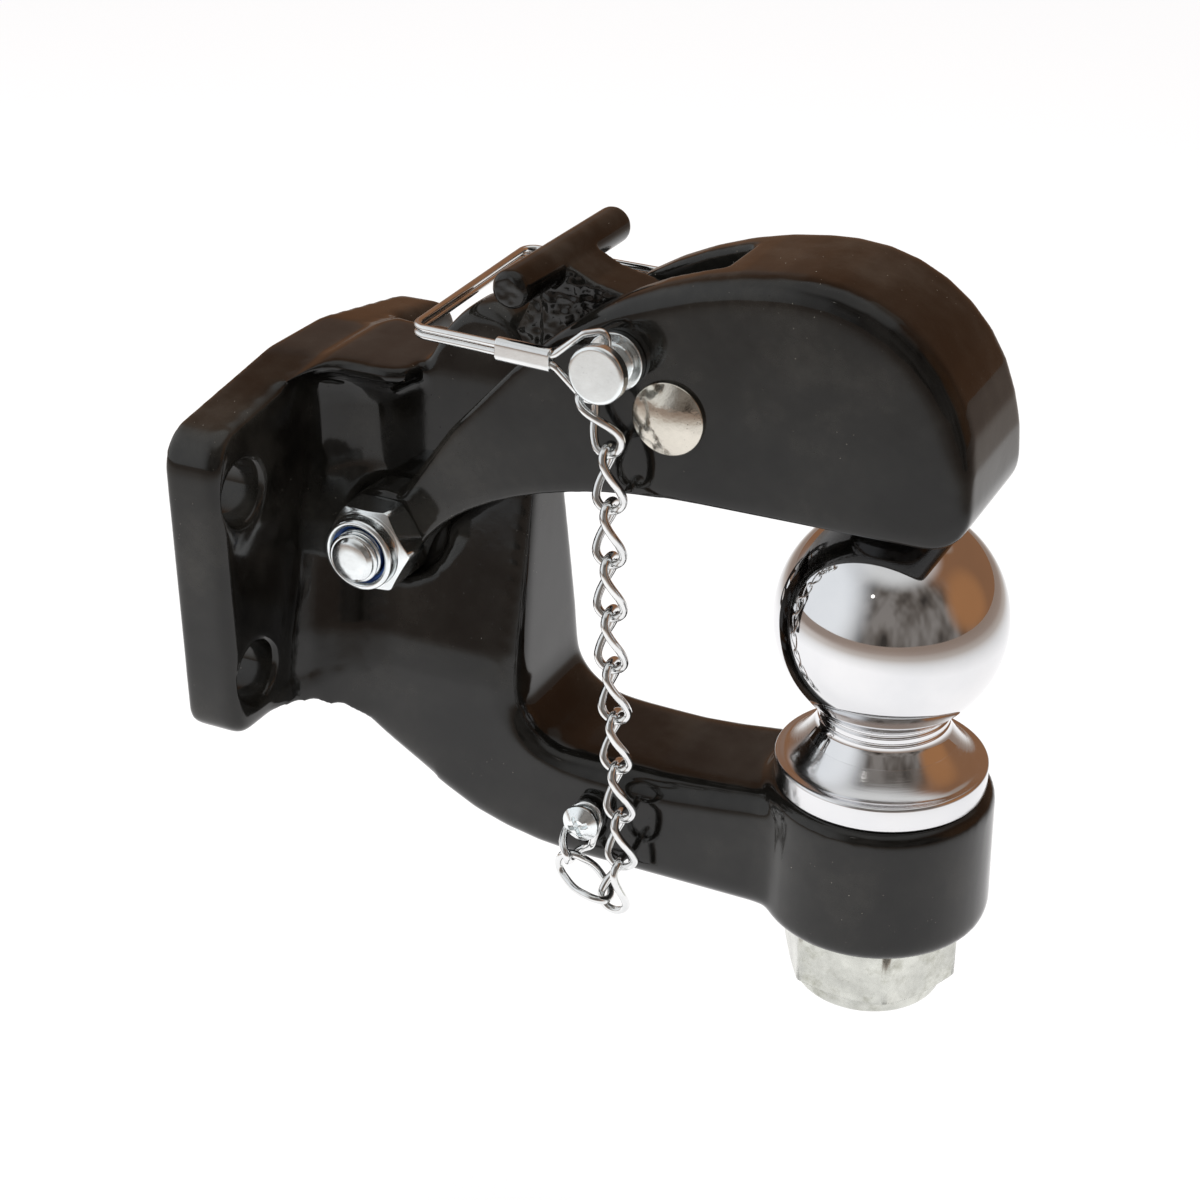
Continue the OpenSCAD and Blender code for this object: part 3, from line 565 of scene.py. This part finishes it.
def lock_nut(node, name, across, hex_h, collar_r, collar_h, bore_r, opening_r, at, axis, paint=None):
    """A hexagon nut with a round collar rolled over its nylon ring."""
    roll = (collar_r - opening_r) / 2
    foot = hex_h + COLLAR_FOOT
    straight = collar_h - COLLAR_FOOT - roll
    profile = [(bore_r, 0)] + hex_levels(across, corner_of(node, at, axis), 0, hex_h)
    profile += [(collar_r + 0.35, hex_h + 0.02), (collar_r + 0.1, hex_h + 0.35), (collar_r, foot)]
    profile += [(collar_r, foot + straight * t) for t in (0.5, 0.9)]
    profile += arc(collar_r - roll, hex_h + collar_h - roll, roll, 0, 180, 15)
    profile += [(opening_r, hex_h - RECESS), (bore_r, hex_h - RECESS), (bore_r, 0)]
    stand_for(lathe(name, profile, at, axis, NUT_STEPS), node, paint)


# Ball, turned and polished, in mm

low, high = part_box("tow_ball")
BALL_X, BALL_R = (low.x + high.x) / 2 / MM, 25.0
BALL_Z = high.z / MM - BALL_R
SEAT_Z = -36.8
NECK_R, NECK_L, SHANK_R, SHANK_EDGE = 14.4, 4.6, 12.0, 1.6
COLLAR_R, COLLAR_H = 23.4, 6.0
CONE_STRAIGHT, CONE_END = 0.6, 1.2
GROOVES, GROOVE_R, GROOVE_HALF = (1, 3), 0.45, 0.6
RIM_ROUND, FOOT_ROUND = 0.8, 0.6
shank_end = low.z / MM
under = math.degrees(math.asin(NECK_R / BALL_R))
neck_top = BALL_Z - BALL_R * math.cos(math.radians(under))
cone_top = neck_top - NECK_L
rim = SEAT_Z + COLLAR_H
profile = [(0, BALL_Z + BALL_R)] + arc(0, BALL_Z, BALL_R, 90, under - 90, 72)[1:]
for below in GROOVES:
    groove = neck_top - below
    profile += [(NECK_R, groove + GROOVE_HALF)] + arc(NECK_R, groove, GROOVE_R, 90, 270, 8)
    profile += [(NECK_R, groove - GROOVE_HALF)]
for turn in range(0, 85, 6):
    drop = math.sin(math.radians(turn))
    flare = CONE_STRAIGHT * drop + (1 - CONE_STRAIGHT) * (1 - math.cos(math.radians(turn)))
    profile.append((NECK_R + (COLLAR_R - CONE_END - NECK_R) * flare, cone_top - (cone_top - rim) * drop))
profile += [(COLLAR_R - RIM_ROUND - 0.1, rim)]
profile += arc(COLLAR_R - RIM_ROUND, rim - RIM_ROUND, RIM_ROUND, 90, 0, 5)
profile += arc(COLLAR_R - FOOT_ROUND, SEAT_Z + FOOT_ROUND, FOOT_ROUND, 0, -90, 4) + [(SHANK_R, SEAT_Z)]
profile += [(SHANK_R, shank_end + SHANK_EDGE), (SHANK_R - SHANK_EDGE, shank_end), (0, shank_end)]
stand_for(lathe("ball_turned", profile, (BALL_X, 0, 0), steps=160), "tow_ball")

# Bail: two strands from the pin's cross hole round to the pin's far end, in mm

PIN_X, PIN_Z = 91.8, 57.7
BAIL_R, STRAND, FORK = 0.8, 0.85, 7.8
BAIL_PIN_Y, BAIL_NEAR, BAIL_FAR = -23.0, -26.0, 26.2
BAIL_BACK, BAIL_TURN = 48.0, 3.0
DIP_AHEAD, DIP_Z, NEAR_Z, FAR_Z, END_Z = 13, 59.1, 59.5, 61.2, 60.2
FORK_LEAN = math.radians(15)
KNEE_UPPER, KNEE_LOWER = (5.0, 6.8), (4.8, 7.4)
FERRULE_X, FERRULE_L = 74.3, 12.5


def strand(s):
    """Corners of the upper strand for s = 1, or the lower one for s = -1, each with its bend radius."""
    knee_out, knee_up = KNEE_UPPER if s > 0 else KNEE_LOWER
    knee_x, knee_y = PIN_X - knee_out * math.cos(FORK_LEAN), BAIL_PIN_Y - knee_out * math.sin(FORK_LEAN)
    sleeve_x = FERRULE_X + FERRULE_L / 2 + 0.3
    return [(Vector((PIN_X, BAIL_PIN_Y, PIN_Z + s * FORK)), 1.7),
            (Vector((knee_x, knee_y, PIN_Z + s * knee_up)), 2.5),
            (Vector((sleeve_x, BAIL_NEAR + 0.05, PIN_Z + 0.6 + s * (STRAND + 0.1))), 3),
            (Vector((BAIL_BACK + DIP_AHEAD, BAIL_NEAR, DIP_Z + s * STRAND)), 8),
            (Vector((BAIL_BACK, BAIL_NEAR, NEAR_Z + s * STRAND)), BAIL_TURN),
            (Vector((BAIL_BACK - 0.6, BAIL_FAR, FAR_Z + s * STRAND)), BAIL_TURN),
            (Vector((PIN_X + 1.6, BAIL_FAR, END_Z + s * STRAND)), STRAND * 0.98)]


both = rounded_path(strand(1) + strand(-1)[::-1])
stand_for(tube("wire_bail", both, BAIL_R, sides=18), "pin_bail")

# Chain: twisted links, each hooked into the one before, the last two closing onto the screw

LINK_R, LINK_HALF, LINK_CORE, LINK_GAP = 0.85, 3.4, 11.15, 0.25
LINK_SEEN_R = 0.93
HOOK = LINK_HALF - (2 * LINK_R + LINK_GAP)
LEAN = (30, 2, 0, 1, 1, 4, 2, 4, 2, -9)
FIRST_ALONG, FIRST_UP = 4.36, 0.26
SCREW_AT, SCREW_R = Vector((85.2, -20.3, -53.8)), 2
LAST_CORE = LINK_CORE + LINK_HALF - LINK_R - SCREW_R - LINK_GAP
ELBOW_OUT, ELBOW_ROUNDS = -0.2, 13
TWIST_FROM, TWIST_TO = LINK_HALF * 0.3, LINK_CORE + LINK_HALF * 0.7
LAST_TWIST = LINK_HALF + 4.0
BEND_STEP, SIDE_STEPS = 9, 8


def hang(a):
    """Downward direction that leans a degrees towards +X."""
    return Vector((math.sin(math.radians(a)), 0, -math.cos(math.radians(a))))


def chain_places():
    """Start and direction of each link."""
    on_fork = Vector((PIN_X - FIRST_ALONG * math.cos(FORK_LEAN),
                      BAIL_PIN_Y - FIRST_ALONG * math.sin(FORK_LEAN), PIN_Z - FORK + FIRST_UP))
    place = on_fork - (LINK_R + BAIL_R + 2 * LINK_GAP) * hang(LEAN[0])
    links = [(place, hang(LEAN[0]))]
    for a, ahead in zip(LEAN, LEAN[1:]):
        place = place + LINK_CORE * hang(a) + HOOK * (hang(a) + hang(ahead)).normalized()
        links.append((place, hang(ahead)))
    last = hang(LEAN[-1])
    end = place + LINK_CORE * last
    into, out_of = last, Vector((-1, 0, 0))
    for _ in range(ELBOW_ROUNDS):
        start = end + HOOK * into
        span = SCREW_AT - start - HOOK * out_of
        c, u = span.length, span.normalized()
        bend = math.acos((LINK_CORE ** 2 + c * c - LAST_CORE ** 2) / (2 * LINK_CORE * c))
        out = (u.cross(Vector((0, 1, 0))) + Vector((0, ELBOW_OUT, 0))).normalized()
        out = (out - u * u.dot(out)).normalized()
        d1 = math.cos(bend) * u + math.sin(bend) * out
        d2 = (span - LINK_CORE * d1).normalized()
        solved = [(start, d1), (start + LINK_CORE * d1 + HOOK * out_of, d2)]
        into, out_of = (last + d1).normalized(), (d1 + d2).normalized()
    return links + solved


def link_path(start, head, twist_to):
    """Middle line of a link whose second end is a quarter turn on from its first."""
    e1 = (Vector((0, 1, 0)) - head * head.y).normalized()
    e2 = e1.cross(head)
    bend = [math.radians(a) for a in range(-90, 91, BEND_STEP)]
    side = [LINK_HALF + (LINK_CORE - LINK_HALF) * k / SIDE_STEPS for k in range(1, SIDE_STEPS)]
    plan = [(LINK_HALF * (1 - math.cos(a)), LINK_HALF * math.sin(a)) for a in bend]
    plan += [(along, LINK_HALF) for along in side]
    plan += [(LINK_CORE + LINK_HALF * math.cos(a), -LINK_HALF * math.sin(a)) for a in bend]
    plan += [(along, -LINK_HALF) for along in reversed(side)]
    path = []
    for along, out in plan:
        share = max(0, min(1, (along - TWIST_FROM) / (twist_to - TWIST_FROM)))
        turn = math.pi / 2 * share * share * (3 - 2 * share)
        path.append(start + along * head + out * (e1 * math.cos(turn) + e2 * math.sin(turn)))
    return path


places = chain_places()
for i, (start, head) in enumerate(places):
    number = f"{i + 1:02d}"
    path = link_path(start, head, TWIST_TO if i < len(places) - 1 else LAST_TWIST)
    stand_for(tube("wire_link_" + number, path, LINK_SEEN_R, sides=14), "chain_link_" + number)

# Spring round the rivet, in the lever's pocket

RIVET_X, RIVET_Z = 103.3, 46.8
COIL_R, COIL_WIRE_R, COIL_Y, COIL_PITCH = 7, 0.6, 2.2, 1.52
COIL_TURNS, COIL_STEPS, COIL_FROM = 2.5, 40, 150
coil = []
for i in range(int(COIL_TURNS * COIL_STEPS) + 1):
    angle = math.radians(COIL_FROM - 360 * i / COIL_STEPS)
    coil.append(Vector((RIVET_X + COIL_R * math.cos(angle), COIL_Y + COIL_PITCH * i / COIL_STEPS,
                        RIVET_Z + COIL_R * math.sin(angle))))
stand_for(tube("wire_spring", coil, COIL_WIRE_R, sides=12, closed=False), "lever_spring")

# Pivot bolt with its thread's end, and its lock nut

PIVOT_X, PIVOT_Z = 33.5, 5.5
PIVOT_FACE, PIVOT_R, PIVOT_ACROSS, PIVOT_HEX, PIVOT_COLLAR = 18.1, 6.0, 19.0, 8.2, 3.6
PIVOT_BORE = PIVOT_R + FIT
BOLT_HEAD, BOLT_CORE, BOLT_OUT, BOLT_TIP_R = 7.5, 5.25, 3, 4.5
THREAD_PITCH, THREAD_L, THREAD_STEPS, THREAD_RUN_OUT = 1.5, 4.2, 40, 12
THREAD_AT = (PIVOT_X, -PIVOT_FACE - PIVOT_HEX - 1.6, PIVOT_Z)
RING_H, RING_EDGE = 1.9, 0.2
NUT_AT = (PIVOT_X, -PIVOT_FACE, PIVOT_Z)
BOLT_AT = (PIVOT_X, 0, PIVOT_Z)


def thread(name, radius, core, at, axis):
    """A helical thread ridge round a bar, rising from nothing and running out again."""
    bm = bmesh.new()
    count = int(THREAD_L / THREAD_PITCH * THREAD_STEPS)
    foot, crest, root = THREAD_PITCH * 0.48, THREAD_PITCH * 0.08, core - 0.2
    rings = []
    for i in range(count + 1):
        a = 2 * math.pi * i / THREAD_STEPS
        along = THREAD_PITCH * i / THREAD_STEPS
        top = core + (radius - core) * min(1, i / THREAD_RUN_OUT, (count - i) / THREAD_RUN_OUT)
        ring = [(root, -foot), (top, -crest), (top, crest), (root, foot)]
        spot = [(r * math.cos(a), r * math.sin(a), along + h) for r, h in ring]
        rings.append([bm.verts.new(v) for v in spot])
    for a, b in zip(rings, rings[1:]):
        for k in range(4):
            bm.faces.new([a[k], a[(k + 1) % 4], b[(k + 1) % 4], b[k]])
    bm.faces.new(rings[0][::-1])
    bm.faces.new(rings[-1])
    return placed(name, bm, at, axis)


head_end, nut_face = -PIVOT_FACE - BOLT_HEAD, PIVOT_FACE + PIVOT_HEX
bolt_end = nut_face + PIVOT_COLLAR + BOLT_OUT
profile = [(0, head_end)]
profile += hex_levels(PIVOT_ACROSS, corner_of("pivot_bolt", BOLT_AT, "Y"), head_end, -PIVOT_FACE)
profile += [(PIVOT_R, -PIVOT_FACE), (PIVOT_R, nut_face), (BOLT_CORE, nut_face + 0.7),
            (BOLT_CORE, bolt_end - 1.0), (BOLT_CORE - 0.1, bolt_end - 0.85), (BOLT_TIP_R, bolt_end - 0.1),
            (BOLT_TIP_R - 0.15, bolt_end), (2, bolt_end), (0, bolt_end)]
stand_for(lathe("turned_bolt", profile, BOLT_AT, "Y", NUT_STEPS), "pivot_bolt")
dress(thread("bolt_thread", PIVOT_R - 0.1, BOLT_CORE, THREAD_AT, "Y"), "pivot_bolt")
lock_nut("pivot_nut", "turned_nut", across=PIVOT_ACROSS, hex_h=PIVOT_HEX, collar_r=PIVOT_ACROSS / 2 - 1,
         collar_h=PIVOT_COLLAR, bore_r=PIVOT_BORE, opening_r=PIVOT_R + 0.8, at=NUT_AT, axis="Y")
ring_top, ring_r = PIVOT_HEX + RING_H, PIVOT_R + 1.2
ring = [(PIVOT_BORE, PIVOT_HEX), (ring_r, PIVOT_HEX), (ring_r, ring_top - RING_EDGE),
        (ring_r - RING_EDGE, ring_top), (PIVOT_R + 0.3, ring_top), (PIVOT_BORE, ring_top - RING_EDGE),
        (PIVOT_BORE, PIVOT_HEX)]
stand_for(lathe("turned_ring", ring, NUT_AT, "Y"), "pivot_nut_insert")

# Ball nut, an older zinc

nut_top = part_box("ball_nut")[1].z / MM
lock_nut("ball_nut", "turned_ball_nut", across=36.0, hex_h=16.2, collar_r=17.0, collar_h=3.8,
         bore_r=SHANK_R + FIT, opening_r=14.0, at=(BALL_X, 0, nut_top), axis="down", paint="old_zinc")

# Rivet with a shallow dome at each end

RIVET_FACE, RIVET_TOP, RIVET_R, RIVET_HEAD_R = 18.0, 21.0, 5.0, 8.0
DOME_STEPS = 12
dome_r, dome_foot = RIVET_HEAD_R - 0.35, RIVET_FACE + 1.15
sag = RIVET_TOP - dome_foot
sphere_r = (dome_r ** 2 + sag ** 2) / (2 * sag)
outs = [dome_r * t / DOME_STEPS for t in range(DOME_STEPS + 1)]
head = [(out, RIVET_TOP - sphere_r + math.sqrt(sphere_r ** 2 - out ** 2)) for out in outs]
head += [(RIVET_HEAD_R - 0.1, dome_foot - 0.12), (RIVET_HEAD_R, dome_foot - 0.4),
         (RIVET_HEAD_R, RIVET_FACE + 0.1), (RIVET_HEAD_R - 0.1, RIVET_FACE), (RIVET_R, RIVET_FACE)]
profile = [(r, -h) for r, h in head] + head[::-1]
stand_for(lathe("turned_rivet", profile, (RIVET_X, 0, RIVET_Z), "Y"), "lever_rivet")

# Small pressed parts

for node, voxel, rounds in (("lock_pin", 0.22, 2), ("chain_screw", 0.14, 3), ("bail_ferrule", 0.14, 3)):
    cast(node, "fine_" + node, voxel, rounds)

# Carried over nodes keep a finished material too

for node, piece in nodes.items():
    piece.data.materials.clear()
    piece.data.materials.append(PAINTS[slot_of[node]])


# Studio: pale floor, soft panels and a painted sky that the camera sees as white

FLOOR_Z, FLOOR_HALF = -0.17, 6
FLOOR_PALE = (0.99, 0.99, 1.0)
FADE_CENTRE = (0.08, 0, 0)
bm = bmesh.new()
bmesh.ops.create_grid(bm, x_segments=8, y_segments=8, size=FLOOR_HALF)
floor = linked("floor", finished("floor", bm))
floor.location.z = FLOOR_Z
# The floor glows. The camera sees it plain pale, and the glow keeps the object's shadow faint. In
# reflections the glow fades from pale to brown away from the object, a painted reflection of the room.
paper = Paint("floor_paper", Roughness=0.9, Base_Color=(0.22, 0.22, 0.22, 1), Emission_Strength=0.84)
away = paper.node("ShaderNodeVectorMath", operation="DISTANCE")
away.inputs[1].default_value = FADE_CENTRE
paper.link(paper.place, away.inputs[0])
painted_room_glow = paper.ramp(paper.math("MULTIPLY", away.outputs["Value"], 0.7), (0.24, FLOOR_PALE), (0.35, 0.74),
                    (0.5, (0.36, 0.31, 0.27)), (0.8, (0.2, 0.13, 0.09)))
from_camera = paper.node("ShaderNodeLightPath").outputs["Is Camera Ray"]
paper.into("Emission Color", paper.mix(from_camera, painted_room_glow, FLOOR_PALE))
paper.bump((paper.noise(400), 0.0001))
floor.data.materials.append(paper.material)


def panel(name, at, aim, size, power, color=(1, 1, 1)):
    """A soft light that leaves no mirror image of itself."""
    light = bpy.data.lights.new(name, "AREA")
    light.shape = "RECTANGLE"
    light.size, light.size_y = size
    light.energy = power
    light.color = color
    lamp = bpy.data.objects.new(name, light)
    scene.collection.objects.link(lamp)
    lamp.location = at
    lamp.rotation_euler = (Vector(aim) - Vector(at)).to_track_quat("-Z", "Y").to_euler()
    lamp.visible_glossy = False


panel("panel_top", (0.0, 0.25, 1.0), (0.08, 0, 0), (0.7, 0.25), 7, (1.0, 0.96, 0.92))
panel("panel_left", (-0.8, -0.5, 0.5), (0.05, 0, 0), (0.5, 0.7), 7)
panel("panel_front", (0.5, -0.9, 1.0), (0.08, 0, 0), (0.5, 0.4), 4)

sky = Sky((0.36, (0.042, 0.036, 0.032)), (0.5, (0.115, 0.1, 0.088)), (0.66, (0.23, 0.21, 0.195)))
sky.patch((0.1, 0.85, 0.5), 80, 55, (0.25, 0.125, 0.066))
sky.patch((0.9, 0.25, 0.3), 30, 12, (0.36, 0.17, 0.075))
sky.patch((-0.55, 0.8, 0.42), 15, 7, (0.3, 0.28, 0.27), 0.3)
sky.patch((0.35, 0.75, 0.95), 14, 8, (0.42, 0.38, 0.34), 0.6)
sky.patch((0, 0, 1), 42, 22, (0.72, 0.72, 0.71))
sky.patch((-0.9, -0.45, 0.25), 62, 24, (0.9, 0.92, 0.94))
sky.patch((-0.1, -0.75, 0.72), 1.9, 1.3, (2.6, 2.5, 2.35))
sky.finish((1, 1, 1))
scene.view_settings.view_transform = "Standard"
